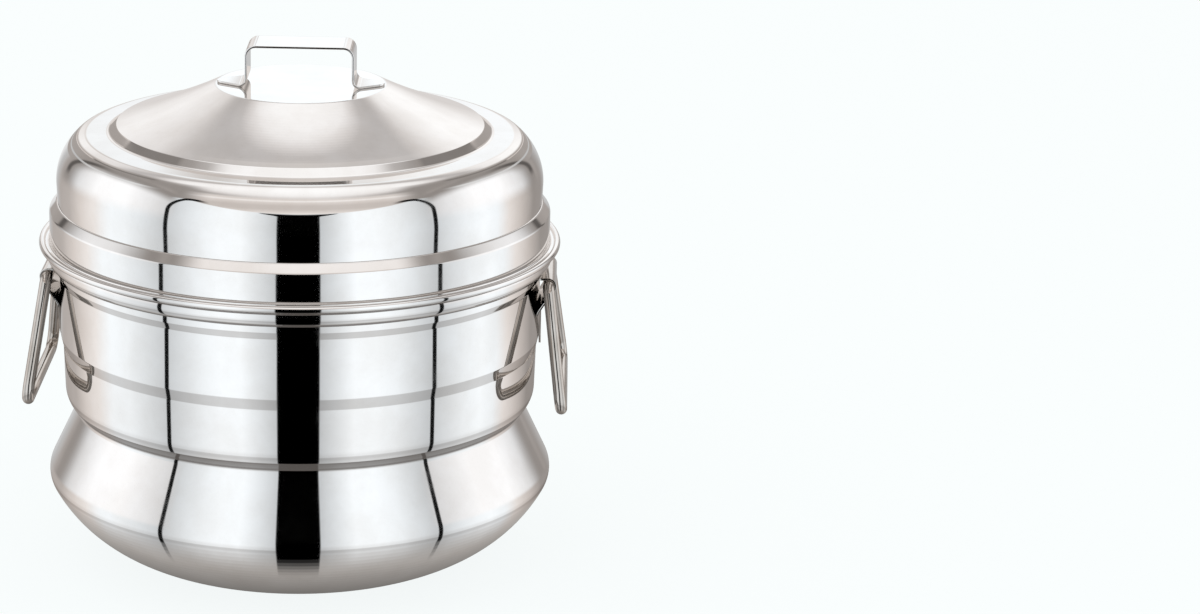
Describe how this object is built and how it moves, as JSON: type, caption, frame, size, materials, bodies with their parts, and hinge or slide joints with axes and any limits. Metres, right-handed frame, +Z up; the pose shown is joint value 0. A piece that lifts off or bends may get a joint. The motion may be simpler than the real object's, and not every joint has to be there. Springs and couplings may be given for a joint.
{
  "type": "idli steamer",
  "caption": "Waisted steel steamer pot with hinged bails, lift-out plates of pressed cups, and a domed lid with a strap handle.",
  "frame": {"origin": "centre of the flat base, on the surface that the pot stands on", "axes": "+Z up along the pot's axis, +X towards the right bail, +Y towards the back"},
  "size_m": [0.2806, 0.27, 0.2732],
  "materials": {
    "pot_steel": "mirror polished stainless steel",
    "lid_steel": "mirror polished stainless steel",
    "plate_steel": "bright rolled stainless sheet",
    "strap_steel": "bright stainless strip",
    "bracket_steel": "bright folded stainless sheet",
    "bail_steel": "drawn and polished stainless rod"
  },
  "bodies": {
    "pot": {"pot_body": "pot_steel", "left_bracket": "bracket_steel", "right_bracket": "bracket_steel"},
    "left_bail": {"left_bail": "bail_steel"},
    "right_bail": {"right_bail": "bail_steel"},
    "bottom_plate": {"bottom_plate": "plate_steel", "bottom_plate_handle": "strap_steel"},
    "middle_plate": {"middle_plate": "plate_steel", "middle_plate_handle": "strap_steel"},
    "top_plate": {"top_plate": "plate_steel", "top_plate_handle": "strap_steel"},
    "lid": {"lid_shell": "lid_steel", "lid_handle": "strap_steel"}
  },
  "joints": [
    {"name": "left_bail_hinge", "type": "hinge", "parent": "pot", "child": "left_bail", "pos_m": [-0.12938, 0, 0.1515], "axis": [0, 1, 0], "range_deg": [-10, 155]},
    {"name": "right_bail_hinge", "type": "hinge", "parent": "pot", "child": "right_bail", "pos_m": [0.12938, 0, 0.1515], "axis": [0, -1, 0], "range_deg": [-10, 155]},
    {"name": "bottom_plate_lift", "type": "slide", "parent": "pot", "child": "bottom_plate", "axis": [0, 0, 1], "range_m": [0, 0.125]},
    {"name": "middle_plate_lift", "type": "slide", "parent": "bottom_plate", "child": "middle_plate", "axis": [0, 0, 1], "range_m": [0, 0.1]},
    {"name": "top_plate_lift", "type": "slide", "parent": "middle_plate", "child": "top_plate", "axis": [0, 0, 1], "range_m": [0, 0.1]},
    {"name": "lid_lift", "type": "slide", "parent": "top_plate", "child": "lid", "axis": [0, 0, 1], "range_m": [0, 0.15]}
  ]
}
